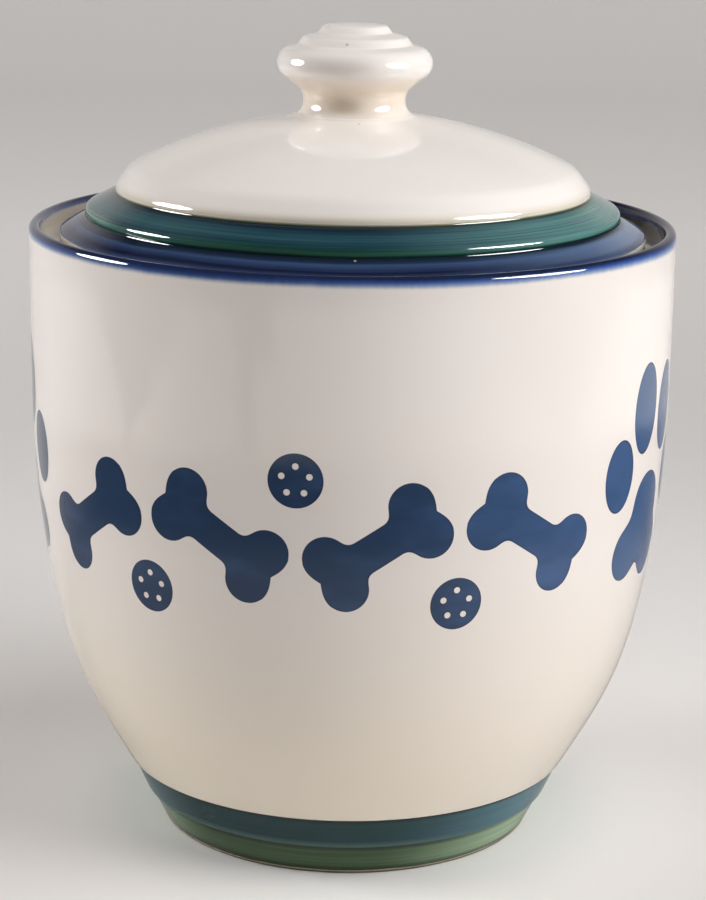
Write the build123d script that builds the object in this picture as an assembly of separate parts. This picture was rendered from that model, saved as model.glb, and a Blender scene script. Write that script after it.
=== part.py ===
from build123d import *
from math import asin, atan2, cos, degrees, radians, sin, sqrt, tan
import os

# A lidded stoneware biscuit jar, turned on the wheel. Every piece is one closed outline of radius and
# height, spun about +Z. Millimetres, with the origin on the table under the middle of the foot.

# ---- Jar: outside ----
BODY_RADIUS = 95.3  # straight upper wall
RIM_CREST = 183.7  # top of the rim above the table
STRAIGHT_WALL = 24.0  # rim crest down to where the wall starts to draw in
SHOULDER_HEIGHT = 86.0  # a height where the wall has barely started to curve ...
SHOULDER_INSET = 3.7  # ... and how far it has drawn in there from the straight wall
BELLY_HEIGHT = 50.0  # the same for the steeper curve below
BELLY_INSET = 12.3
BELLY_LEAN = 30.0  # degrees from upright where the belly meets the foot
FOOT_TOP = 21.0  # lower edge of the belly
FOOT_TOP_RADIUS = 67.9
GROOVE_HEIGHT = 10.4  # edge between the foot's two turned bands
GROOVE_RADIUS = 62.4
FOOT_RADIUS = 56.5  # outer edge that stands on the table
BAND_STEP = 0.7  # each band is cut this much deeper than what is above it
BAND_ROUND = 0.5
FOOT_EDGE_ROUND = 1.0

# ---- Jar: inside and underneath ----
WALL = 5.2
FLOOR = 7.0
RIM_THICKNESS = 3.5
LEDGE_DEPTH = 4.9  # rim crest down to the gallery ledge that carries the lid
LEDGE_WIDTH = 11.4
LEDGE_LIP = 5.0
LEDGE_ROUND = 1.4
FOOT_RING = 8.0
FOOT_RECESS = 4.0
RECESS_ROUND = 1.6

# ---- Lid ----
FLANGE_GAP = 5.3  # ring gap between the lid's flange and the wall round it
FLANGE_EDGE = 2.9
FLANGE_WIDTH = 7.7
FLANGE_ROUND = 1.3
COLLAR_STEP = 2.6
COLLAR_WIDTH = 8.9
COLLAR_ROUND = 1.6
LID_SLOPE = 27.0  # degrees, of the flange and the collar alike
DOME_STEP = 1.9  # upright edge of the dome ...
FLANK_WIDTH = 4.0  # ... and the leaning flank between that edge and the dome's curve
FLANK_RISE = 5.3
DOME_CURVE = 145.0
DOME_ROUND = 3.0
SHOULDER_ROUND = 9.0
STEP_COVE = 0.8  # hollow fillet at the root of each step
LID_WALL = 5.0
LID_INSIDE_ROUND = 6.0
SPIGOT_GAP = 1.2  # radial play between the locating ring and the ledge round it
SPIGOT_DEPTH = 8.5
SPIGOT_WALL = 4.5
SPIGOT_ROUND = 1.5

# ---- Knob ----
WAIST_RADIUS = 15.0
WAIST_STRAIGHT = 0.6
WAIST_COVE = 4.5  # hollow round above and below the waist
WAIST_FLARE = 38.0  # degrees above level, of the cone between the waist and the bead
BEAD_RADIUS = 22.8
BEAD_CURVE = 4.8  # full round of the bead
LUTE_DROP = 3.4  # the knob is luted to the lid this far below the waist
TREAD_SLOPE = 15.0  # degrees above level, of the tiers' treads
RISER_LEAN = 35.0  # degrees from upright, of their risers
TIER_RADIUS = 16.8
TIER_STEP = 2.2
CAP_RADIUS = 10.8
CAP_STEP = 2.1
CAP_CROWN = 0.4
TIER_ROUND = 1.9
TIER_COVE = 1.1

# ---- Heights and radii that follow ----
mouth_radius = BODY_RADIUS - RIM_THICKNESS
ledge_top = RIM_CREST - LEDGE_DEPTH
ledge_radius = mouth_radius - LEDGE_WIDTH
floor_top = FOOT_RECESS + FLOOR

flange_radius = mouth_radius - FLANGE_GAP
flange_edge_top = ledge_top + FLANGE_EDGE
collar_radius = flange_radius - FLANGE_WIDTH
flange_root = flange_edge_top + FLANGE_WIDTH * tan(radians(LID_SLOPE))
collar_edge = flange_root + COLLAR_STEP
dome_radius = collar_radius - COLLAR_WIDTH
collar_root = collar_edge + COLLAR_WIDTH * tan(radians(LID_SLOPE))
flank_root = collar_root + DOME_STEP
dome_edge = flank_root + FLANK_RISE
dome_edge_radius = dome_radius - FLANK_WIDTH
dome_centre = dome_edge - sqrt(DOME_CURVE**2 - dome_edge_radius**2)

# The dome touches the cove round the knob's waist, so their centres are the sum of their radii apart.
cove_centre_radius = WAIST_RADIUS + WAIST_COVE
waist_height = dome_centre + sqrt((DOME_CURVE + WAIST_COVE) ** 2 - cove_centre_radius**2)
cove_centre = (cove_centre_radius, waist_height)
lute_height = waist_height - LUTE_DROP
lute_angle = degrees(asin(LUTE_DROP / WAIST_COVE))
lute_radius = cove_centre_radius - WAIST_COVE * cos(radians(lute_angle))


def turn(outline, rounds):
    """Closes an outline of radius and height, rounds its named corners and spins it about +Z."""
    section = make_face(outline)
    for corner, radius in rounds:
        vertex = section.vertices().sort_by_distance(corner)[0]
        section = fillet(vertex, radius)
    return revolve(Plane.XZ * section, Axis.Z)


def jar_body():
    """The vessel, from the middle of its underside out, up the outside, over the rim and down inside."""
    lean = radians(BELLY_LEAN)
    along_belly = (sin(lean), cos(lean))
    ring_inner = FOOT_RADIUS - FOOT_RING
    wall_start = RIM_CREST - STRAIGHT_WALL
    rim_round = RIM_THICKNESS / 2

    foot = Polyline(
        (0, FOOT_RECESS),
        (ring_inner, FOOT_RECESS),
        (ring_inner, 0),
        (FOOT_RADIUS, 0),
        (GROOVE_RADIUS - BAND_STEP, GROOVE_HEIGHT),
        (GROOVE_RADIUS, GROOVE_HEIGHT),
        (FOOT_TOP_RADIUS - BAND_STEP, FOOT_TOP),
        (FOOT_TOP_RADIUS, FOOT_TOP),
    )
    belly = Spline(
        (FOOT_TOP_RADIUS, FOOT_TOP),
        (BODY_RADIUS - BELLY_INSET, BELLY_HEIGHT),
        (BODY_RADIUS - SHOULDER_INSET, SHOULDER_HEIGHT),
        (BODY_RADIUS, wall_start),
        tangents=(along_belly, (0, 1)),
    )
    wall = Line((BODY_RADIUS, wall_start), (BODY_RADIUS, RIM_CREST - rim_round))
    rim = ThreePointArc(
        (BODY_RADIUS, RIM_CREST - rim_round),
        (BODY_RADIUS - rim_round, RIM_CREST),
        (mouth_radius, RIM_CREST - rim_round),
    )

    # The inside runs one wall thickness in from the outside, and the ledge stands out from it
    # on a slope that falls as far as it reaches.
    inner_radius = BODY_RADIUS - WALL
    lip_bottom = ledge_top - LEDGE_LIP
    ledge_foot = lip_bottom - (inner_radius - ledge_radius)
    gallery = Polyline(
        (mouth_radius, RIM_CREST - rim_round),
        (mouth_radius, ledge_top),
        (ledge_radius, ledge_top),
        (ledge_radius, lip_bottom),
        (inner_radius, ledge_foot),
        (inner_radius, wall_start),
    )
    cove_start = (FOOT_TOP_RADIUS - WALL * cos(lean), FOOT_TOP + WALL * sin(lean))
    inner_belly = Spline(
        (inner_radius, wall_start),
        (inner_radius - SHOULDER_INSET, SHOULDER_HEIGHT),
        (inner_radius - BELLY_INSET, BELLY_HEIGHT),
        cove_start,
        tangents=((0, -1), (-along_belly[0], -along_belly[1])),
    )
    # The cove leaves the belly along its lean and comes level at the floor.
    cove_turn = 90 - BELLY_LEAN
    cove_curve = (cove_start[1] - floor_top) / (1 - cos(radians(cove_turn)))
    cove = JernArc(
        cove_start,
        (-along_belly[0], -along_belly[1]),
        radius=cove_curve,
        arc_size=-cove_turn,
    )
    floor = Polyline(cove @ 1, (0, floor_top), (0, FOOT_RECESS))

    outline = [foot, belly, wall, rim, gallery, inner_belly, cove, floor]
    rounds = [
        ((ring_inner, FOOT_RECESS), RECESS_ROUND),
        ((ring_inner, 0), FOOT_EDGE_ROUND),
        ((FOOT_RADIUS, 0), FOOT_EDGE_ROUND),
        ((GROOVE_RADIUS, GROOVE_HEIGHT), BAND_ROUND),
        ((FOOT_TOP_RADIUS, FOOT_TOP), BAND_ROUND),
        ((ledge_radius, ledge_top), LEDGE_ROUND),
        ((ledge_radius, lip_bottom), LEDGE_ROUND),
    ]
    return turn(outline, rounds)


def lid():
    """The lid, from the middle of its boss out over dome, collar and flange, then back underneath."""
    boss = Line((0, lute_height), (lute_radius, lute_height))
    cove_touch = degrees(atan2(waist_height - dome_centre, cove_centre_radius))
    boss_cove = CenterArc(cove_centre, WAIST_COVE, 180 + lute_angle, cove_touch - lute_angle)
    edge_angle = degrees(atan2(dome_edge - dome_centre, dome_edge_radius))
    dome = CenterArc((0, dome_centre), DOME_CURVE, cove_touch, edge_angle - cove_touch)

    # Underneath, the ceiling is one wall inside the dome. It stops short of the dome's edge, so that
    # the slope from there to the locating ring leaves clay under the roots of both steps.
    spigot_radius = ledge_radius - SPIGOT_GAP
    spigot_inner = spigot_radius - SPIGOT_WALL
    spigot_end = ledge_top - SPIGOT_DEPTH
    spigot_root = flange_root - LID_WALL * cos(radians(LID_SLOPE))
    ceiling_curve = DOME_CURVE - LID_WALL
    ceiling_radius = dome_radius - 1.6 * LID_WALL
    ceiling_edge = dome_centre + sqrt(ceiling_curve**2 - ceiling_radius**2)
    steps = Polyline(
        dome @ 1,
        (dome_radius, flank_root),
        (dome_radius, collar_root),
        (collar_radius, collar_edge),
        (collar_radius, flange_root),
        (flange_radius, flange_edge_top),
        (flange_radius, ledge_top),
        (spigot_radius, ledge_top),
        (spigot_radius, spigot_end),
        (spigot_inner, spigot_end),
        (spigot_inner, spigot_root),
        (ceiling_radius, ceiling_edge),
    )
    ceiling_angle = degrees(atan2(ceiling_edge - dome_centre, ceiling_radius))
    ceiling = CenterArc((0, dome_centre), ceiling_curve, ceiling_angle, 90 - ceiling_angle)
    axis = Line(ceiling @ 1, (0, lute_height))

    outline = [boss, boss_cove, dome, steps, ceiling, axis]
    rounds = [
        ((dome_edge_radius, dome_edge), SHOULDER_ROUND),
        ((dome_radius, flank_root), DOME_ROUND),
        ((dome_radius, collar_root), STEP_COVE),
        ((collar_radius, collar_edge), COLLAR_ROUND),
        ((collar_radius, flange_root), STEP_COVE),
        ((flange_radius, flange_edge_top), FLANGE_ROUND),
        ((flange_radius, ledge_top), FLANGE_ROUND),
        ((spigot_radius, spigot_end), SPIGOT_ROUND),
        ((spigot_inner, spigot_end), SPIGOT_ROUND),
        ((spigot_inner, spigot_root), LID_INSIDE_ROUND),
        ((ceiling_radius, ceiling_edge), LID_INSIDE_ROUND),
    ]
    return turn(outline, rounds)


def knob():
    """The knob, from its luted base up the waist, round the bead and over two tiers to the axis."""
    base = Line((0, lute_height), (lute_radius, lute_height))
    lower_cove = CenterArc(cove_centre, WAIST_COVE, 180 + lute_angle, -lute_angle)
    waist_top = waist_height + WAIST_STRAIGHT
    waist = Line((WAIST_RADIUS, waist_height), (WAIST_RADIUS, waist_top))
    upper_cove = CenterArc(
        (cove_centre_radius, waist_top),
        WAIST_COVE,
        180,
        WAIST_FLARE - 90,
    )

    # The flare leaves the cove and reaches the bead along one tangent.
    flare = radians(WAIST_FLARE)
    flare_start = upper_cove @ 1
    flare_end_radius = BEAD_RADIUS - BEAD_CURVE + BEAD_CURVE * sin(flare)
    flare_end_height = flare_start.Y + (flare_end_radius - flare_start.X) * tan(flare)
    flare_line = Line(flare_start, (flare_end_radius, flare_end_height))
    bead_centre = (BEAD_RADIUS - BEAD_CURVE, flare_end_height + BEAD_CURVE * cos(flare))
    bead = CenterArc(bead_centre, BEAD_CURVE, WAIST_FLARE - 90, 180 - WAIST_FLARE - TREAD_SLOPE)

    tread = tan(radians(TREAD_SLOPE))
    riser = tan(radians(RISER_LEAN))
    tier_root = (bead @ 1).Y + ((bead @ 1).X - TIER_RADIUS) * tread
    tier_edge = (TIER_RADIUS - TIER_STEP * riser, tier_root + TIER_STEP)
    cap_root = tier_edge[1] + (tier_edge[0] - CAP_RADIUS) * tread
    cap_edge = (CAP_RADIUS - CAP_STEP * riser, cap_root + CAP_STEP)
    tiers = Polyline(
        bead @ 1,
        (TIER_RADIUS, tier_root),
        tier_edge,
        (CAP_RADIUS, cap_root),
        cap_edge,
    )
    cap_top = (0, cap_edge[1] + CAP_CROWN)
    cap = TangentArc(cap_top, cap_edge, tangent=(1, 0))
    axis = Line(cap_top, (0, lute_height))

    outline = [base, lower_cove, waist, upper_cove, flare_line, bead, tiers, cap, axis]
    rounds = [
        ((TIER_RADIUS, tier_root), TIER_COVE),
        (tier_edge, TIER_ROUND),
        ((CAP_RADIUS, cap_root), TIER_COVE),
        (cap_edge, TIER_ROUND),
    ]
    return turn(outline, rounds)


os.makedirs("parts", exist_ok=True)
for name, piece in (("jar_body", jar_body()), ("lid", lid()), ("knob", knob())):
    export_step(piece, f"parts/{name}.step")
    print(f"{name}: volume {piece.volume / 1000:.1f} cm3, top at {piece.bounding_box().max.Z:.2f} mm")
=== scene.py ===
# %% [markdown]
# # A glazed biscuit jar
#
# The jar is stoneware: one thrown vessel, a stepped lid that rests on a ledge inside the mouth, and a knob
# that is stuck to the lid with slip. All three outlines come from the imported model, and Blender turns them
# again finely enough for a glossy glaze. Then it adds what a potter adds last: cream glaze all over, blue
# on the rim and flange, teal and green on the turned steps and the foot, a frieze painted under it, and
# bare clay where the jar stood in the kiln.

# %% The frame
from math import ceil, cos, pi, radians, sin, tau

import bmesh
import bpy
import numpy as np
from mathutils import Matrix, Quaternion, Vector, noise


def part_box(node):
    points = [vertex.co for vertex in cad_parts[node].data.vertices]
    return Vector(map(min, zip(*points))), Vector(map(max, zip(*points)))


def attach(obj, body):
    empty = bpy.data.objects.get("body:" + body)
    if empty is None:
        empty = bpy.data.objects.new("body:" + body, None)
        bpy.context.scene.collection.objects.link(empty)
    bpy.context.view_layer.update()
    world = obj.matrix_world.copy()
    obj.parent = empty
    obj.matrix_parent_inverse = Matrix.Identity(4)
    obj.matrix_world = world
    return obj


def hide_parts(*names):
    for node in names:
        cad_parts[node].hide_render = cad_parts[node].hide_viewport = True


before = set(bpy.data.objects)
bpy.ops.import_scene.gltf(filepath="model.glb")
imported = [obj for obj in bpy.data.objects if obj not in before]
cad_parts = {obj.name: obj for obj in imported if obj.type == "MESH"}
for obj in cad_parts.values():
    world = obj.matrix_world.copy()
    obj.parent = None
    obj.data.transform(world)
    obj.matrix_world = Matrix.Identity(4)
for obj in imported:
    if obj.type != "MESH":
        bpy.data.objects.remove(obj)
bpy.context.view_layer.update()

# %% [markdown]
# ## Sizes that the finish follows
#
# A band of glaze ends where the potter's knife left an edge, so each border is a height on the clay. All
# heights and radii in the glazes are millimetres, counted up from the table and out from the jar's axis.
# The `Object` coordinates of these pieces are metres from the same point, the middle of the foot, and they
# stay with the piece when the lid is lifted.

# %% Heights and radii in millimetres
MM = 1000.0
rim_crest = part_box("jar_body")[1].z * MM
wall_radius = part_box("jar_body")[1].x * MM
foot_top = 21.0
groove_height = 10.4
recess_radius = 48.5
print(f"rim at {rim_crest:.1f} mm, wall radius {wall_radius:.1f} mm")

# %% [markdown]
# ## Turning the pieces again
#
# A glossy glaze mirrors its surroundings, and a mirror shows every facet of the mesh under it. The packed
# nodes are fine enough to measure, but not to mirror, so each one is turned again. Its own outline is read
# where the surface crosses the plane y = 0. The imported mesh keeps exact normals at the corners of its
# triangles, so each step of the outline has a known direction at both ends, and a Hermite curve through the
# two fills in the points between. `bmesh.ops.spin` then does what the wheel did.


# %% The outline of a node
AT_SEAM = 2e-6


def seam_steps(node):
    """The steps of a node's outline: start -> (start, end, normal at start, normal at end), in metres."""
    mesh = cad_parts[node].data
    places = np.empty(len(mesh.vertices) * 3)
    mesh.vertices.foreach_get("co", places)
    used = np.empty(len(mesh.loops), dtype=int)
    mesh.loops.foreach_get("vertex_index", used)
    normals = np.empty(len(mesh.loops) * 3)
    mesh.corner_normals.foreach_get("vector", normals)
    corners = places.reshape(-1, 3)[used].reshape(-1, 3, 3)
    normals = normals.reshape(-1, 3, 3)
    on_seam = (abs(corners[..., 1]) < AT_SEAM) & (corners[..., 0] > -AT_SEAM)
    behind = corners[..., 1].sum(axis=1) > 0
    steps = {}
    for i in np.nonzero(behind & (on_seam.sum(axis=1) == 2))[0]:
        for here, after in ((0, 1), (1, 2), (2, 0)):
            if on_seam[i, here] and on_seam[i, after]:
                start, end = Vector(corners[i, here]), Vector(corners[i, after])
                steps[start.to_tuple(6)] = (start, end, Vector(normals[i, here]), Vector(normals[i, after]))
    return steps


def along(normal, towards):
    """The direction of the outline: square to the normal, in the plane y = 0, the way it runs."""
    direction = Vector((-normal.z, 0, normal.x)).normalized()
    return direction if direction.dot(towards) > 0 else -direction


def outline(node, longest=0.0028, sharpest=radians(5)):
    """Points along the whole outline, no step longer or turning more than the limits."""
    steps = seam_steps(node)
    ends = {end.to_tuple(6) for start, end, *normals in steps.values()}
    at = next(key for key in steps if key not in ends)
    points = []
    while at in steps:
        start, end, *normals = steps[at]
        chord = end - start
        leave, arrive = (along(normal, chord) for normal in normals)
        parts = max(ceil(chord.length / longest), ceil(leave.angle(arrive) / sharpest))
        for i in range(parts):
            t = i / parts
            points.append(
                start * (1 + 2 * t) * (1 - t) ** 2
                + end * t * t * (3 - 2 * t)
                + leave * chord.length * t * (1 - t) ** 2
                - arrive * chord.length * t * t * (1 - t)
            )
        at = end.to_tuple(6)
    points.append(end)
    # A flat face at either end runs on to the axis.
    for place, point in ((0, points[0]), (len(points), points[-1])):
        if point.x > AT_SEAM:
            points.insert(place, Vector((0, 0, point.z)))
    return points


# %% [markdown]
# A thrown pot isn't as true as a lathe's work. The potter's fingers leave faint rings, and the clay relaxes
# a little as it dries. `waver` shifts the surface in or out by about a tenth of a millimetre: far too
# little to see in the outline, but enough to make the long highlights swell and thin as they do on real
# glaze. It depends on the place alone, so the lid and the knob still meet exactly where they are stuck
# together.


# %% Turned pieces
ROUND_STEPS = 180
WAVER = 0.00009
CREASE = radians(40)
NEAR_AXIS = 0.001


def waver(place):
    """How far the clay strays from its outline at a place: rings from the fingers, and a slow sway."""
    rings = noise.noise(Vector((place.x * 4, place.y * 4, place.z * 95)))
    sway = noise.noise(Vector((place.x * 22, place.y * 22, place.z * 30 + 7)))
    return (0.6 * rings + sway) * WAVER


def spun(points, steps):
    """A closed skin: an outline spun once about the jar's axis."""
    mesh = bmesh.new()
    ring = [mesh.verts.new(point) for point in points]
    edges = [mesh.edges.new(pair) for pair in zip(ring, ring[1:])]
    bmesh.ops.spin(mesh, geom=ring + edges, axis=(0, 0, 1), angle=tau, steps=steps, use_merge=True)
    bmesh.ops.remove_doubles(mesh, verts=mesh.verts, dist=1e-6)
    for face in mesh.faces:
        face.smooth = True
    return mesh


def placed(name, mesh):
    """An object at the origin that holds this mesh."""
    data = bpy.data.meshes.new(name)
    mesh.to_mesh(data)
    mesh.free()
    piece = bpy.data.objects.new(name, data)
    bpy.context.scene.collection.objects.link(piece)
    return piece


def turned(name, node, body):
    """Spins the node's outline about the jar's axis and puts the result in the node's place."""
    points = outline(node)
    mesh = spun(points, ROUND_STEPS)
    bmesh.ops.recalc_face_normals(mesh, faces=mesh.faces)
    for vert in mesh.verts:
        flat = Vector((vert.co.x, vert.co.y, 0))
        if flat.length > NEAR_AXIS:
            vert.co += flat.normalized() * waver(vert.co)
    for edge in mesh.edges:
        edge.smooth = edge.calc_face_angle(0.0) < CREASE
    piece = placed(name, mesh)
    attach(piece, body)
    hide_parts(node)
    print(f"{name}: {len(points)} points on the outline, {len(piece.data.polygons)} faces")
    return piece


jar = turned("jar_turned", "jar_body", "jar")
lid = turned("lid_turned", "lid", "lid")
knob = turned("knob_turned", "knob", "lid")

# %% [markdown]
# ## Shader arithmetic
#
# Painting with nodes means a lot of small sums: how far is this point from an edge, is it inside a shape.
# `Wire` wraps one output socket and overloads the operators, so the sums read like the ones on paper and
# every operator adds its Math node. Everything that isn't arithmetic comes from the one method `node`.


# %% A socket that can be used in sums
class Wire:
    """One number, colour or vector on its way through a material."""

    def __init__(self, socket):
        self.socket = socket

    def node(self, kind, settings=None, inputs=None, output=0):
        """Adds a node to this wire's tree: its settings first, then the values or links of its sockets."""
        made = self.socket.id_data.nodes.new(kind)
        for name, value in (settings or {}).items():
            if name == "stops":
                self.set_stops(made.color_ramp, value)
            else:
                setattr(made, name, value)
        for name, value in (inputs or {}).items():
            if isinstance(value, Wire):
                made.id_data.links.new(value.socket, made.inputs[name])
            else:
                made.inputs[name].default_value = value
        return Wire(made.outputs[output])

    def set_stops(self, ramp, stops):
        """A new ramp has two stops, which take the first and last values; the rest go between."""
        for (position, colour), element in zip((stops[0], stops[-1]), ramp.elements):
            element.position, element.color = position, colour
        for position, colour in stops[1:-1]:
            ramp.elements.new(position).color = colour

    def math(self, operation, *others):
        return self.node("ShaderNodeMath", {"operation": operation}, dict(enumerate((self, *others))))

    def __add__(self, other):
        return self.math("ADD", other)

    def __sub__(self, other):
        return self.math("SUBTRACT", other)

    def __rsub__(self, other):
        return self * -1 + other

    def __mul__(self, other):
        return self.math("MULTIPLY", other)

    def __truediv__(self, other):
        return self.math("DIVIDE", other)

    def __neg__(self):
        return self * -1

    def __abs__(self):
        return self.math("ABSOLUTE")

    __radd__ = __add__
    __rmul__ = __mul__

    def least(self, other):
        return self.math("MINIMUM", other)

    def most(self, other):
        return self.math("MAXIMUM", other)

    def squared(self):
        return self * self

    def root(self):
        return self.math("SQRT")

    def fade(self, start, end):
        """0 at start and 1 at end, with a soft shoulder at both. Start may be the larger."""
        return self.node(
            "ShaderNodeMapRange",
            {"interpolation_type": "SMOOTHSTEP"},
            {"Value": self, "From Min": start, "From Max": end},
        )

    def within(self, start, full, still_full, end):
        """1 between the middle two values, with a fade to 0 at each outer one."""
        return self.fade(start, full) * self.fade(end, still_full)

    def ramp(self, stops):
        """The colour at this value on a ramp of (position, colour) stops."""
        return self.node("ShaderNodeValToRGB", {"stops": stops}, {0: self})

    def blend(self, low, high):
        """The colour low where this is 0 and high where it is 1."""
        settings = {"data_type": "RGBA", "clamp_factor": True}
        return self.node("ShaderNodeMix", settings, {0: self, 6: low, 7: high}, output=2)


# %% [markdown]
# A material starts from where a point is. `Clay` reads the Object coordinates once and keeps the numbers
# that every glaze here needs: the radius, the height and how far round the jar the point lies. The marks
# that a brush leaves on a turning pot run round it, so `noise` can be squeezed in height.


# %% Where a point lies on the clay
class Clay:
    """A material's own tree, with the place of the point being shaded."""

    def __init__(self, name):
        self.material = bpy.data.materials.new(name)
        self.material.use_nodes = True
        self.surface = self.material.node_tree.nodes["Principled BSDF"]
        self.place = Wire(self.surface.outputs[0]).node("ShaderNodeTexCoord", output="Object")
        split = self.place.node("ShaderNodeSeparateXYZ", None, {0: self.place}).socket.node
        self.x, self.y, self.z = (Wire(output) * MM for output in split.outputs)
        self.radius = (self.x.squared() + self.y.squared()).root()
        # Radians round from the front, positive on the right.
        self.turn = self.x.math("ARCTAN2", -self.y)

    def noise(self, size, detail=2.0, squeeze=1.0, rough=0.5):
        """Soft noise with features of about this size in mm, or that size divided by squeeze in height."""
        stretched = self.place.node(
            "ShaderNodeVectorMath",
            {"operation": "MULTIPLY"},
            {0: self.place, 1: (MM / size, MM / size, MM / size * squeeze)},
        )
        inputs = {"Vector": stretched, "Scale": 1.0, "Detail": detail, "Roughness": rough}
        return self.place.node("ShaderNodeTexNoise", {"normalize": True}, inputs)

    def finish(self, **inputs):
        """Sets the surface's own sockets and returns the material."""
        for name, value in inputs.items():
            socket = self.surface.inputs[name.replace("_", " ")]
            if isinstance(value, Wire):
                self.material.node_tree.links.new(value.socket, socket)
            else:
                socket.default_value = value
        return self.material


def rgb(red, green, blue):
    """A colour from values of 0 to 255, as the linear colour that a shader wants."""
    def linear(v):
        v /= 255
        return v / 12.92 if v <= 0.04045 else ((v + 0.055) / 1.055) ** 2.4

    return (linear(red), linear(green), linear(blue), 1.0)


# %% [markdown]
# ## The colours of the glaze
#
# Each glaze has a full colour where it lies thick, a pale one where it runs thin over an edge, and a dark
# one where it pools in a corner. Many of the pale and dark ones below are painted light and shade: paler
# where a lamp falls, darker where shade falls, and the haze or dark of what the glaze reflects.

# %% Glaze colours
CREAM = rgb(240, 234, 230)
# The jar's cream is a shade darker than the lid's: painted shade that keeps the brightly lit side of the jar
# from going white.
CREAM_JAR = rgb(235, 228, 224)
CREAM_WARM = rgb(239, 229, 212)
DOME_EDGE_SHADE = rgb(208, 197, 170)
SPECK = rgb(120, 108, 96)
NAVY = rgb(43, 63, 92)
NAVY_PALE_AND_LIT = rgb(66, 92, 132)
NAVY_EDGE = rgb(36, 48, 72)
RIM_FULL = rgb(28, 42, 80)
RIM_HAZE = rgb(116, 126, 150)
CREAM_SHADE_AND_SPOT = rgb(230, 220, 202)
GALLERY_SHADE_DARK = rgb(84, 76, 50)
FOOT_TEAL = rgb(31, 60, 58)
FOOT_TEAL_BLUE = rgb(34, 62, 72)
FOOT_TEAL_LIT = rgb(76, 114, 128)
FOOT_GREEN = rgb(60, 82, 55)
FOOT_SHADE = rgb(30, 42, 38)
FOOT_GREEN_SHADE = rgb(48, 60, 50)
FOOT_GREEN_SOFT = rgb(76, 98, 72)
FOOT_GREEN_LIT = rgb(152, 178, 146)
FOOT_PALE_TEAL = rgb(70, 96, 92)
BARE_CLAY = rgb(176, 164, 134)
BARE_CLAY_DARK = rgb(150, 136, 104)
CONTACT_SHADOW = rgb(62, 48, 34)
GREEN_STREAK = rgb(34, 98, 76)
GREEN_BREAK_LIT = rgb(106, 140, 122)
SLOPE_GREEN_LIT = rgb(90, 146, 126)
SLOPE_TEAL_LIT_AND_HAZE = rgb(104, 142, 148)
FLANGE_LIT = rgb(104, 126, 160)
EDGE_PALE = rgb(228, 220, 208)
SLOPE_PALE = rgb(70, 106, 116)
SLOPE_DARK = rgb(20, 44, 54)
WAIST_WARM_SHADE = rgb(234, 220, 204)
WAIST_SHADE = rgb(168, 150, 118)
BEAD_DARK_REFLECTION = rgb(150, 138, 124)
print("cream as a linear colour:", [round(value, 3) for value in CREAM[:3]])

# %% [markdown]
# Many masks here rise towards one side of the pot: a few where a brush left the glaze thicker or thinner,
# and most as painted light on the side that the lamps light, or painted shade on the side that they miss.
# `sideways` makes them. The turn jumps from half a turn to minus half a turn at the back, and a mask that
# isn't 0 there would show that jump as a seam, so each one dies out again before it gets there.


# %% One side of the pot
BACK_START = 2.2
BACK_END = 3.0


def sideways(turn, start, full, back_start=BACK_START):
    """Rises from 0 to 1 between two turns from the front, and is 0 again at the back. All are radians."""
    return turn.fade(start, full) * turn.fade(BACK_END, back_start)


# %% [markdown]
# The next finishes are shared by the pieces. The cream is a little warmer low down, where it runs thicker,
# and warmer on the shaded left than on the lit right, which is painted shade, and it carries faint clouds. A
# pinhole is a bubble that burst in the kiln. `glazed` closes a material: one clear glassy surface, with a
# lazy ripple that bends what it mirrors, and dull where the clay is bare.


# %% Cream, pinholes and gloss
WARM_TOP = 110.0
WARM_FULL = 30.0
GLASSY = 0.05
BARE_DULLNESS = 0.6


def cream(clay, full=CREAM):
    """Cream with faint clouds, warmer low down, and warmer on the shaded left than the lit right as painted
    shade.
    """
    cloud = clay.noise(34, detail=3)
    # Warmer on the shaded left than on the lit right: painted shade.
    low = clay.z.fade(WARM_TOP, WARM_FULL) * (0.85 - sideways(clay.turn, 0.0, 0.9) * 0.3)
    return (low + cloud * 0.25).blend(full, CREAM_WARM)


def pinhole(clay, x, y, z, size):
    """1 inside a burst bubble of this radius, 0 outside it, in mm."""
    away = ((clay.x - x).squared() + (clay.y - y).squared() + (clay.z - z).squared()).root()
    return away.fade(size, size * 0.4)


def glazed(clay, colour, bare=None):
    """The whole material: glassy, or dull by as much as the clay is bare."""
    ripple = clay.noise(13, detail=2)
    bump = ripple.node("ShaderNodeBump", None, {"Strength": 0.12, "Distance": 0.0004, "Height": ripple})
    roughness = GLASSY if bare is None else bare * BARE_DULLNESS + GLASSY
    return clay.finish(Base_Color=colour, Roughness=roughness, IOR=1.52, Normal=bump)


# %% [markdown]
# ## The painted frieze
#
# The motifs are dog biscuits, bones and round ones, with a paw print at each end. All are flat shapes
# painted under the glaze, so they are drawn as distances in the shader: a point is navy where its distance
# to the shape is below zero. The wall is rolled out flat first, with millimetres round the jar against
# millimetres of height.


# %% Shapes as distances
def around(clay, centre_turn, centre_height, tilt=0.0):
    """Flat coordinates on the wall, in mm, centred on a motif and turned with it."""
    across = (clay.turn - radians(centre_turn)) * wall_radius
    up = clay.z - centre_height
    c, s = cos(radians(tilt)), sin(radians(tilt))
    return across * c + up * s, up * c - across * s


def disc(across, up, at, radius):
    """Distance to a disc, below zero inside it."""
    return ((across - at[0]).squared() + (up - at[1]).squared()).root() - radius


def oval(across, up, at, half_width, half_height, tilt):
    """Near enough the distance to an oval: right at its border, and along its shorter axis."""
    c, s = cos(radians(tilt)), sin(radians(tilt))
    a = ((across - at[0]) * c + (up - at[1]) * s) / half_width
    b = ((up - at[1]) * c - (across - at[0]) * s) / half_height
    return ((a.squared() + b.squared()).root() - 1.0) * min(half_width, half_height)


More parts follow.
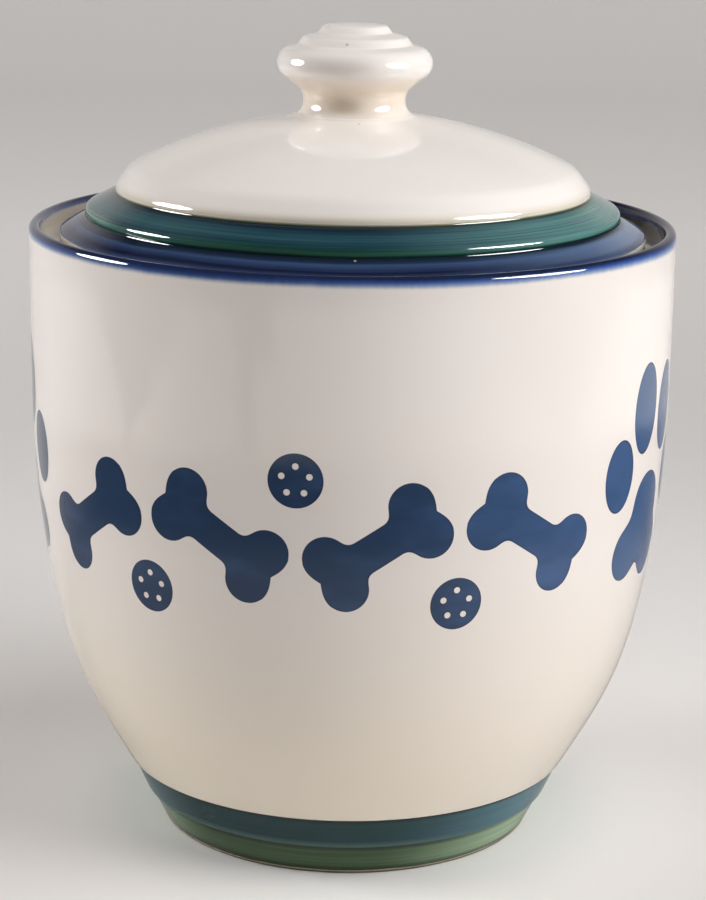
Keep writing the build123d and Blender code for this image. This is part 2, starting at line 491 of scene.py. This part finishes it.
def joined(one, other, soft):
    """The nearer of two shapes, with the corner between them filled to this width."""
    overlap = (soft - abs(one - other)).most(0.0)
    return one.least(other) - overlap.squared() * (0.25 / soft)


# %% Bones, round biscuits and paws, in millimetres from the middle of each
KNUCKLE = (13.8, 5.2)
KNUCKLE_RADIUS = 6.4
SHAFT_REACH = 13.0
SHAFT_HALF_WIDTH = 5.0
KNUCKLE_FILLET = 3.0
ROUND_RADIUS = 7.6
PRICKS = 5
PRICK_CIRCLE = 4.0
PRICK_RADIUS = 0.9
# A paw's pad as lobes of a place and a radius, and its toes as place, half sizes and tilt. The low lobe and
# the toes are those on the right, and are mirrored on the left.
TOP_LOBE = ((0, -3.5), 10.0)
LOW_LOBE = ((9.4, -17.0), 8.4)
LOBE_FILLET = 7.0
TOES = (((21.5, 6.0), 7.4, 10.6, -4), ((9.3, 25.0), 7.9, 13.2, -2))


def bone(clay, turn, height, tilt):
    """A shaft with two round knuckles at each end. All four quarters are alike, so one is enough."""
    across, up = around(clay, turn, height, tilt)
    across, up = abs(across), abs(up)
    knuckle = disc(across, up, KNUCKLE, KNUCKLE_RADIUS)
    shaft = up.most(across - SHAFT_REACH) - SHAFT_HALF_WIDTH
    return joined(shaft, knuckle, KNUCKLE_FILLET)


def round_biscuit(clay, turn, height):
    """A disc with pricked holes."""
    across, up = around(clay, turn, height)
    shape = disc(across, up, (0, 0), ROUND_RADIUS)
    for i in range(PRICKS):
        angle = tau * (i / PRICKS + 0.05)
        hole = (PRICK_CIRCLE * cos(angle), PRICK_CIRCLE * sin(angle))
        shape = shape.most(-disc(across, up, hole, PRICK_RADIUS))
    return shape


def paw(clay, turn, height, tilt):
    """A pad with three lobes, and four toes over it."""
    across, up = around(clay, turn, height, tilt)
    shape = disc(across, up, *TOP_LOBE)
    for side in (-1, 1):
        (x, y), radius = LOW_LOBE
        shape = joined(shape, disc(across, up, (side * x, y), radius), LOBE_FILLET)
        for (x, y), half_width, half_height, lean in TOES:
            shape = shape.least(oval(across, up, (side * x, y), half_width, half_height, side * lean))
    return shape


# %% Where the motifs stand: degrees round the jar, height, tilt
BONES = [(-49.5, 109.5, 33), (-22.3, 111, -33), (4.9, 110, 33), (32.1, 111, -33)]
ROUNDS = [(-35.9, 93), (-8.7, 128.5), (18.5, 93)]
PAWS = [(-82.9, 112.5, 8), (65.6, 112, -8)]
print(len(BONES), "bones,", len(ROUNDS), "round biscuits and", len(PAWS), "paw prints")


def frieze(clay):
    """Distance to the nearest motif on the outside of the wall, in mm."""
    shapes = [bone(clay, *place) for place in BONES]
    shapes += [round_biscuit(clay, *place) for place in ROUNDS]
    shapes += [paw(clay, *place) for place in PAWS]
    nearest = shapes[0]
    for shape in shapes[1:]:
        nearest = nearest.least(shape)
    return nearest


# %% [markdown]
# ## The jar's glaze
#
# The jar is glazed in steps, as the potter does it: each function takes the colour so far and lays its own
# over it. First come the cream and the frieze. The inside of the wall is only 5 mm behind the outside and
# has to stay plain. The wall leans, so its two faces are told apart by the radius less a share of the
# height.

# %% Wall
# The lean of a wall, in mm out for each mm up, and the radii down at the table between its two faces.
WALL_FACES = (0.056, 84.2, 84.3)
FOOT_FACES = (0.5, 53.5, 54.0)


def outer_face(clay, lean, start, full):
    """1 on the outer face of a leaning wall and 0 on the inner one."""
    return (clay.radius - clay.z * lean).fade(start, full)


def wall_glaze(clay):
    """Cream, and navy inside the motifs, with a darker line where the paint lies heavy along their edges.
    The navy is paler where the brush left less paint, and on the lit right as painted light.
    """
    motif = frieze(clay)
    # Paler where the brush left less paint, and towards the lit right as painted light.
    brush_and_painted_light = (clay.noise(26, detail=3, squeeze=2.5) - 0.5) * 1.6 + clay.turn.fade(0.0, 1.0) * 0.9 + 0.1
    navy = brush_and_painted_light.fade(0.0, 1.0).blend(NAVY, NAVY_PALE_AND_LIT)
    navy = motif.fade(-0.4, -0.1).blend(navy, NAVY_EDGE)
    painted = motif.fade(0.1, -0.1) * outer_face(clay, *WALL_FACES)
    return painted.blend(cream(clay, CREAM_JAR), navy)


# %% [markdown]
# Navy lies on the crest of the rim and runs out through a bright blue into the cream, so one colour ramp
# over the depth below the crest holds it. Noise shifts that depth, which gives the blue its soft brushed
# edge. Inside the mouth, the gallery where the wall turns in to the ledge is painted with shade, a warm grey
# on one side and a dark olive on the other, where no lamp reaches.

# %% Rim and gallery
RIM_DEPTH = 3.6
RIM_BLUES = [
    (0.0, (24, 34, 62)),
    (0.6, (25, 36, 68)),
    (1.2, (48, 72, 130)),
    (1.7, (80, 108, 168)),
    (2.2, (130, 148, 184)),
    (2.8, (186, 190, 200)),
    (3.6, (226, 222, 218)),
]


def rim_glaze(clay, colour):
    """Blues over the rim's crest, and painted shade in the gallery inside it."""
    # The side where the blue glaze lies thick, which is also the side of the gallery painted dark olive as
    # shade.
    thick_glaze_and_shade = sideways(clay.turn, 0.7, 1.3)
    # The inner half of the rim's roll, and everything inside it.
    inner = clay.radius.fade(wall_radius - 1.5, wall_radius - 1.9)
    creep = (clay.noise(32, detail=2) - 0.5) * 0.9
    creep = creep + (clay.noise(1.5, detail=2, squeeze=0.25) - 0.5) * 0.35
    # It runs furthest down where the glaze lies thick, and least inside the mouth on the other side.
    reach = 1.0 - thick_glaze_and_shade * 0.16 + inner * (0.7 - thick_glaze_and_shade * 0.96)
    below = (rim_crest - (clay.z + creep)) * reach
    stops = [(depth / RIM_DEPTH, rgb(*blue)) for depth, blue in RIM_BLUES]
    blues = (below / RIM_DEPTH).ramp(stops)
    # The brush came round full and left the blue darker for a quarter of a turn. Further round on the left,
    # the crest is painted paler with the haze that it reflects there.
    crest = below.fade(2.6, 1.8)
    full = clay.turn.within(-1.25, -0.8, -0.3, 0.25)
    blues = (full * crest * 0.5).blend(blues, RIM_FULL)
    # Painted haze of reflection on the crest on the left.
    rim_haze = sideways(-clay.turn, 0.95, 1.4)
    blues = (rim_haze * crest * 0.35).blend(blues, RIM_HAZE)
    colour = below.fade(RIM_DEPTH, 2.5).blend(colour, blues)

    # The painted shade in the gallery starts below the roll of the rim, a little higher on its dark side.
    depth = rim_crest - clay.z + thick_glaze_and_shade * 0.8
    painted_shade = depth.fade(2.8, 4.4) * clay.z.fade(170.0, 174.0) * clay.radius.fade(80.0, 88.0) * inner
    return painted_shade.blend(colour, thick_glaze_and_shade.blend(CREAM_SHADE_AND_SPOT, GALLERY_SHADE_DARK))


# %% [markdown]
# The foot was turned to two steps, teal over green. Both bands are painted dark at the top, as shade under
# the edge above. The teal breaks pale along its lower edge, and the green is painted dark again just above
# the table, as shade where it meets it. A turning brush streaks them, and both are painted paler towards the
# sides, as the lamps' light on either side.


# %% Foot
def foot_glaze(clay, colour):
    """Teal down to the groove, and green under it."""
    streak = clay.noise(80, detail=4, squeeze=90)
    # Paler towards both sides as painted light from the lamps, broken up by the brush streaks.
    brush_and_painted_light = sideways(clay.turn, 0.1, 1.0, back_start=2.0)
    brush_and_painted_light = brush_and_painted_light.most(sideways(-clay.turn, 0.7, 1.3) * 0.75) * (streak * 0.9 + 0.5)

    teal = streak.fade(0.35, 0.7).blend(FOOT_TEAL, FOOT_TEAL_BLUE)
    teal = clay.z.fade(groove_height + 2.6, groove_height + 0.4).blend(teal, FOOT_PALE_TEAL)
    teal = brush_and_painted_light.blend(teal, FOOT_TEAL_LIT)
    # Painted shade under the edge of the wall above.
    teal = clay.z.fade(foot_top - 1.6, foot_top - 0.5).blend(teal, FOOT_SHADE)

    green = streak.fade(0.3, 0.7).blend(FOOT_GREEN, FOOT_GREEN_SOFT)
    green = brush_and_painted_light.blend(green, FOOT_GREEN_LIT)
    # Painted shade just above the table.
    green = (clay.z.fade(3.2, 1.6) * 0.7).blend(green, FOOT_SHADE)
    # Painted shade under the step at the groove, less where the sides are painted lighter.
    shaded = clay.z.fade(groove_height - 2.4, groove_height - 0.6) * (1.0 - brush_and_painted_light * 0.6)
    green = shaded.blend(green, FOOT_GREEN_SHADE)

    band = clay.z.fade(groove_height - 0.2, groove_height + 0.2).blend(green, teal)
    foot = clay.z.fade(foot_top + 0.15, foot_top - 0.05) * outer_face(clay, *FOOT_FACES)
    return foot.blend(colour, band)


# %% [markdown]
# The ring that the jar stands on is wiped clean before the kiln, or the glaze would stick it to the shelf.
# Its clay is speckled with grog and dull, so its mask goes to `glazed` too. Where it meets the table it is
# painted dark, as the shadow under the jar.


# %% Bare ring, and the whole jar
def bare_ring(clay):
    """1 on the wiped ring, whose border wanders a little as the sponge did."""
    wiped = clay.z + (clay.noise(9, detail=2) - 0.5) * 0.6
    return wiped.fade(1.25, 1.05) * clay.radius.fade(recess_radius - 0.1, recess_radius + 0.1)


def jar_glaze():
    clay = Clay("jar_glaze")
    colour = foot_glaze(clay, rim_glaze(clay, wall_glaze(clay)))
    grog_and_shadow = clay.noise(0.7, detail=2).fade(0.2, 0.8).blend(BARE_CLAY, BARE_CLAY_DARK)
    # Painted contact shadow along the table.
    grog_and_shadow = clay.z.fade(0.75, 0.45).blend(grog_and_shadow, CONTACT_SHADOW)
    bare = bare_ring(clay)
    return glazed(clay, bare.blend(colour, grog_and_shadow), bare)


# %% [markdown]
# ## The lid's glaze
#
# On the stepped part every band is a range of heights, because the lid falls steadily from the dome's edge
# to the flange. One colour ramp over the height therefore holds the whole sequence: cream, a thread of
# olive, teal with its dark root and pale break, then the blues of the flange. Brush strokes run round the
# lid, so noise that is long in x and y and very short in height shifts the ramp a little and streaks it.

# %% Lid
BANDS = [
    (193.55, (232, 222, 208)),
    (193.25, (168, 164, 138)),
    (192.95, (66, 80, 66)),
    (192.65, (20, 36, 40)),
    (191.9, (22, 42, 58)),
    (191.3, (24, 56, 72)),
    (190.6, (36, 74, 82)),
    (190.1, (34, 68, 86)),
    (189.5, (27, 58, 74)),
    (188.7, (22, 52, 64)),
    (187.9, (26, 70, 62)),
    (187.3, (46, 88, 74)),
    (186.9, (52, 92, 78)),
    (186.5, (24, 58, 50)),
    (186.1, (15, 34, 38)),
    (185.4, (22, 36, 54)),
    (184.9, (28, 44, 70)),
    (184.4, (54, 76, 114)),
    (183.7, (40, 56, 90)),
    (183.3, (30, 44, 76)),
    (182.9, (14, 24, 52)),
    (182.3, (38, 50, 82)),
    (181.7, (66, 80, 112)),
    (181.1, (120, 126, 140)),
    (180.6, (222, 212, 200)),
]
BANDS_TOP = BANDS[0][0]
BANDS_FOOT = BANDS[-1][0]
BANDS_DEPTH = BANDS_TOP - BANDS_FOOT
# Parts of the lid as four heights: where each starts, is full, is still full, and ends.
COLLAR = (186.2, 187.2, 189.8, 191.6)
COLLAR_SLOPE = (186.4, 187.4, 191.6, 192.9)
COLLAR_EDGE = (186.6, 187.3, 188.0, 189.6)
FLANGE_SLOPE = (181.9, 183.0, 184.8, 185.6)
print(f"{len(BANDS)} stops over {BANDS_DEPTH:.2f} mm of height")


def lid_bands(clay, streak):
    """The ramp over the height, shifted a little by the strokes of the brush."""
    sway = clay.noise(45, detail=2)
    # The shift dies out at both ends, so the borders with the cream stay where the knife left them.
    inner = clay.z.within(BANDS_FOOT + 0.8, BANDS_FOOT + 2.2, BANDS_TOP - 2.5, BANDS_TOP)
    height = clay.z + ((sway - 0.5) * 1.4 + (streak - 0.5) * 0.9) * inner
    stops = [((BANDS_TOP - z) / BANDS_DEPTH, rgb(*colour)) for z, colour in BANDS]
    bands = ((BANDS_TOP - height) / BANDS_DEPTH).ramp(stops)
    green = clay.z.within(*COLLAR) * streak.fade(0.45, 0.75)
    return (green * 0.55).blend(bands, GREEN_STREAK)


# %% [markdown]
# The same glaze looks different all round the lid. On the collar's slope it is painted paler and streaked
# with light green on the lit right, and a little paler on the left as a painted haze of reflection. On the
# left its edge breaks to a pale green, painted lighter still where the fill lamp falls on it. Fine light and
# dark lines are the marks of the brush's hairs. The sharp edge of the flange shows pale clay wherever the
# glaze drew back.

# %% Painted light, haze and breaks on the lid
# The turns to the left over which the glaze starts to draw back from the edges, and over which the collar's
# break is painted lighter.
DRAWN_BACK = (0.96, 1.16)


def collar_glaze(clay, bands, streak):
    """Painted lighter and streaky on the lit right, a painted haze on the left, a pale break along the left
    edge painted lighter, hairlines all round.
    """
    right = sideways(clay.turn, 0.0, 0.95)
    slope_haze = sideways(-clay.turn, 0.3, 0.9)
    slope = clay.z.within(*COLLAR_SLOPE)
    # A pale break along the edge on the left, painted lighter where the fill lamp falls on it.
    lit_break = sideways(-clay.turn, *DRAWN_BACK) * clay.z.within(*COLLAR_EDGE)
    bands = lit_break.blend(bands, GREEN_BREAK_LIT)
    # Painted lighter on the lit right, and a painted haze of reflection on the left.
    bands = (slope * (right * 0.75 + slope_haze * 0.2)).blend(bands, SLOPE_TEAL_LIT_AND_HAZE)
    # Light green streaks on the lit right, painted light.
    bands = (slope * right * streak.fade(0.4, 0.65) * 0.6).blend(bands, SLOPE_GREEN_LIT)
    hairs = clay.noise(90, detail=3, squeeze=330, rough=0.6)
    bands = (slope * hairs.fade(0.5, 0.7) * 0.3).blend(bands, SLOPE_PALE)
    return (slope * hairs.fade(0.48, 0.3) * 0.45).blend(bands, SLOPE_DARK)


def flange_glaze(clay, bands):
    """Painted lighter on top towards the lit right, and drawn back from the sharp edge at both sides."""
    # Painted light on the flange towards the lit right.
    brush_and_painted_light = clay.z.within(*FLANGE_SLOPE) * sideways(clay.turn, 0.2, 1.3)
    bands = (brush_and_painted_light * 0.8).blend(bands, FLANGE_LIT)
    drawn_back = sideways(-clay.turn, *DRAWN_BACK).most(sideways(clay.turn, 0.9, 1.3))
    bared = (clay.z - drawn_back * 0.3).fade(181.3, 180.9) * drawn_back
    return bared.blend(bands, EDGE_PALE)


# %% [markdown]
# The underside of the lid is plain cream. Its outside lies above a slope that falls from the dome to the
# flange, so the height plus a multiple of the radius tells the two apart. Towards its edge the dome is
# painted a little darker and olive, as shade on the rounded edge that turns down.

# %% Whole lid
# How far that slope falls for each mm out, and the heights between which it meets the axis.
SLOPE_FALL = 1.18
SLOPE_APEX = (271.6, 272.4)


def lid_glaze():
    clay = Clay("lid_glaze")
    outside = (clay.z + clay.radius * SLOPE_FALL).fade(*SLOPE_APEX)
    streak = clay.noise(120, detail=5, squeeze=150, rough=0.6)
    bands = flange_glaze(clay, collar_glaze(clay, lid_bands(clay, streak), streak))
    banded = outside * clay.z.within(BANDS_FOOT - 0.2, BANDS_FOOT, BANDS_TOP, BANDS_TOP + 0.2)
    # Painted shade on the dome's edge, which turns down.
    dome = (clay.z.fade(196.5, 193.7) * outside * 0.6).blend(cream(clay), DOME_EDGE_SHADE)
    colour = banded.blend(dome, bands)
    colour = (pinhole(clay, 1.4, -19.2, 214.5, 0.55) * 0.7).blend(colour, SPECK)
    colour = (pinhole(clay, 0.7, -79.4, 185.3, 0.5) * 0.5).blend(colour, CREAM_SHADE_AND_SPOT)
    return glazed(clay, colour)


# %% [markdown]
# ## The knob's glaze
#
# The hollow of the waist is painted warmer and a little darker, as shade lit by warm light bounced round it,
# and darker still on one side as painted shade. The front of the bead carries a painted dark reflection.

# %% Knob
# Parts of the knob as four heights, like those of the lid.
WAIST = (212.5, 221.5, 224.0, 228.5)
WAIST_ROOT = (215.8, 218.2, 219.5, 223.0)
BEAD = (227.8, 230.4, 231.6, 234.2)


def knob_glaze():
    clay = Clay("knob_glaze")
    # Painted warm shade in the hollow of the waist.
    colour = clay.z.within(*WAIST).blend(cream(clay), WAIST_WARM_SHADE)
    # Painted shade on one side of the waist.
    painted_shade = clay.z.within(*WAIST_ROOT) * clay.turn.within(-0.8, -0.25, -0.2, 0.35)
    colour = (painted_shade * 0.5).blend(colour, WAIST_SHADE)
    # A painted dark reflection on the front of the bead.
    brush_and_painted_light = clay.z.within(*BEAD) * clay.turn.within(-1.0, -0.4, -0.1, 0.5)
    colour = (brush_and_painted_light * 0.2).blend(colour, BEAD_DARK_REFLECTION)
    colour = (pinhole(clay, -2.3, -15.9, 236.6, 0.6) * 0.45).blend(colour, SPECK)
    return glazed(clay, colour)


# %% The glazes go on
for piece, material in ((jar, jar_glaze()), (lid, lid_glaze()), (knob, knob_glaze())):
    piece.data.materials.append(material)
    print(piece.name, "wears", material.name, "with", len(material.node_tree.nodes), "nodes")

# %% [markdown]
# ## The studio
#
# A glossy pot shows the room as much as itself. Here it stands on pale paper that sweeps up into a wall all
# round. The paper is painted a little lighter close to the jar and darker further off, as painted light, and
# far from the lamps it glows faintly for the camera and for reflections, as a lit backdrop would.
#
# The front of the pot mirrors the other half of the room, which isn't lit. There the glaze, and nothing
# else, sees a dim room with a pale floor a little way off, and the stands of the lamps dark against that
# floor.

# %% The room that the glaze mirrors
ROOM_DARK = rgb(44, 38, 30)
ROOM_PALE = rgb(236, 231, 223)
# The stands: how many degrees round from the front, and half their width in degrees.
STANDS = ((-77, 15), (-33, 7), (75, 25))


def is_ray(wire, kind):
    """1 for a ray of this kind and 0 for any other, in the tree of this wire."""
    return wire.node("ShaderNodeLightPath", output=kind)


def mirrored_room(clay, away):
    """The colour of the unlit half of the room, by the distance from the jar in metres."""
    sway = (clay.noise(120, detail=3) - 0.5) * 0.35
    floor_off = away.fade(0.52, 0.62) * (away + sway * 0.2).fade(1.01, 0.97)
    # Each stand tapers towards the jar.
    reach = away.fade(0.52, 0.98) * 0.9 + 0.1
    stands = None
    for turn, width in STANDS:
        stand = (abs(clay.turn + sway - radians(turn)) / (reach * radians(width))).fade(1.06, 0.94)
        stands = stand if stands is None else stands.most(stand)
    return (floor_off * (1.0 - stands)).blend(ROOM_DARK, ROOM_PALE)


# %% Paper
PAPER_NEAR = rgb(236, 234, 232)
PAPER = rgb(225, 222, 220)
PAPER_FAR = rgb(208, 205, 203)
BLACK = rgb(0, 0, 0)
# The glow starts and is full this far from the jar, in metres, and is this strong.
GLOW_START = 0.15
GLOW_FULL = 1.2
GLOW = 0.48


def paper():
    """Lit paper for the camera and the lamps, and the unlit room for the front of the glaze."""
    clay = Clay("backdrop_paper")
    tree = clay.material.node_tree
    away = clay.radius / MM
    # Painted light on the paper: lighter close to the jar, darker further off.
    shade = away.fade(0.2, 0.6).blend(away.fade(0.06, 0.14).blend(PAPER_NEAR, PAPER), PAPER_FAR)
    seen = is_ray(clay.place, "Is Camera Ray").most(is_ray(clay.place, "Is Glossy Ray"))
    glowing = (away.fade(GLOW_START, GLOW_FULL) * seen).blend(BLACK, PAPER_FAR)
    glow = clay.place.node("ShaderNodeEmission", None, {"Color": glowing, "Strength": GLOW})
    lit = clay.place.node("ShaderNodeAddShader", None, {0: Wire(clay.surface.outputs[0]), 1: glow})
    room = mirrored_room(clay, away)
    dim = clay.place.node("ShaderNodeEmission", None, {"Color": room, "Strength": 1.0})
    # The glaze sees lit paper behind the jar, half of its light close by, and elsewhere the dim room.
    behind = clay.turn.fade(1.9, 2.9).most((-clay.turn).fade(1.45, 2.4)) * (clay.z / MM).fade(2.0, 0.9)
    near = away.fade(0.4, 0.25)
    front = (1.0 - behind.most(near * 0.5)) * is_ray(clay.place, "Is Glossy Ray")
    mixed = clay.place.node("ShaderNodeMixShader", None, {0: front, 1: lit, 2: dim})
    tree.links.new(mixed.socket, tree.nodes["Material Output"].inputs["Surface"])
    return clay.finish(Base_Color=shade, Roughness=0.9, IOR=1.3)


# %% Paper sweep
SWEEP_RADIUS = 2.6
SWEEP_HEIGHT = 2.1
SWEEP_CURVE = 0.5
CURVE_PARTS = 8
SWEEP_STEPS = 96


def sweep():
    """Floor, a quarter round and a wall, as one outline spun about the jar's axis."""
    points = [Vector((0, 0, 0)), Vector((0.3, 0, 0)), Vector((1.2, 0, 0))]
    for i in range(CURVE_PARTS + 1):
        a = tau / 4 * i / CURVE_PARTS
        out = SWEEP_RADIUS - SWEEP_CURVE + SWEEP_CURVE * sin(a)
        points.append(Vector((out, 0, SWEEP_CURVE - SWEEP_CURVE * cos(a))))
    points.append(Vector((SWEEP_RADIUS, 0, SWEEP_HEIGHT)))
    piece = placed("paper_sweep", spun(points, SWEEP_STEPS))
    piece.data.materials.append(paper())
    print("paper sweep:", len(piece.data.polygons), "faces")


sweep()

# %% [markdown]
# ## Lamps
#
# Two softboxes on the right are the main light, one on the left fills in, and a small one above lightens
# the lid. None of these shows in the glaze. The highlights have two lamps of their own, seen in the glaze
# alone, so their size and lean can be set without changing how the jar is lit.


# %% Softboxes
def softbox(name, turn, height_angle, distance, width, height, strength, mirrored=False, lean=0):
    """A flat lamp aimed at the middle of the jar. Turn 0 is towards the camera and 90 to the right.

    A mirrored one is seen in the glaze alone, and leans round the line to the jar by this many degrees.
    """
    target = Vector((0, 0, 0.15))
    a, e = radians(turn), radians(height_angle)
    away = Vector((sin(a) * cos(e), -cos(a) * cos(e), sin(e)))
    lamp = bpy.data.lights.new(name, "AREA")
    lamp.shape = "ELLIPSE" if mirrored else "RECTANGLE"
    lamp.size = width
    lamp.size_y = height
    # The strength is the radiance of a rectangle. Its area and pi turn it into power.
    lamp.energy = strength * width * height * pi
    stand = bpy.data.objects.new(name, lamp)
    place = Matrix.Translation(target + away * distance)
    aim = away.to_track_quat("Z", "Y").to_matrix().to_4x4()
    stand.matrix_world = place @ aim @ Matrix.Rotation(radians(lean), 4, "Z")
    stand.visible_camera = False
    stand.visible_glossy = mirrored
    stand.visible_diffuse = not mirrored
    bpy.context.scene.collection.objects.link(stand)
    print(f"{name}: {lamp.energy:.1f} W")


# Turn and angle up in degrees, then distance, width and height in metres, then strength.
softbox("key", 74, 26, 1.1, 0.90, 0.42, 6.4)
softbox("key_front", 58, 30, 1.3, 0.80, 0.60, 3.0)
softbox("fill", -96, 17, 1.2, 0.60, 0.30, 16.0)
softbox("top", 55, 68, 0.75, 0.45, 0.45, 1.8)
softbox("mirror_right", 67, 17, 1.1, 0.74, 0.52, 26.0, mirrored=True, lean=-28)
softbox("mirror_left", -95, 16, 1.1, 0.50, 0.52, 26.0, mirrored=True, lean=37)

# %% [markdown]
# The rest of the room is dim. The world gives a little fill to the surfaces, and looks darker than that in
# reflections, where it is the unlit ceiling.

# %% World
WORLD_FILL = (0.25, 0.243, 0.239, 1.0)
WORLD_MIRRORED = (0.05, 0.047, 0.043, 1.0)
world = bpy.data.worlds.new("room")
bpy.context.scene.world = world
world.use_nodes = True
background = world.node_tree.nodes["Background"]
fill = is_ray(Wire(background.outputs[0]), "Is Glossy Ray").blend(WORLD_FILL, WORLD_MIRRORED)
world.node_tree.links.new(fill.socket, background.inputs["Color"])

# %% [markdown]
# ## The camera
#
# The camera stands three quarters of a metre in front of the jar and looks a little down on it, so the
# lid's steps and the gap round them show. A long lens keeps the sides of the jar nearly upright.

# %% Camera
CAMERA_PLACE = Vector((0.0, -0.7347, 0.29935))
PITCH = radians(-14.20)
YAW = radians(0.0746)
ROLL = radians(0.7773)
ahead = Vector((sin(YAW) * cos(PITCH), cos(YAW) * cos(PITCH), sin(PITCH)))
lens = bpy.data.cameras.new("camera")
lens.lens = 99.92
camera = bpy.data.objects.new("camera", lens)
camera.location = CAMERA_PLACE
camera.rotation_mode = "QUATERNION"
camera.rotation_quaternion = ahead.to_track_quat("-Z", "Y") @ Quaternion((0, 0, 1), ROLL)
bpy.context.scene.collection.objects.link(camera)
bpy.context.scene.camera = camera
bpy.context.scene.view_settings.view_transform = "Standard"
print(f"camera {-CAMERA_PLACE.y:.2f} m in front, {lens.lens:.0f} mm lens")
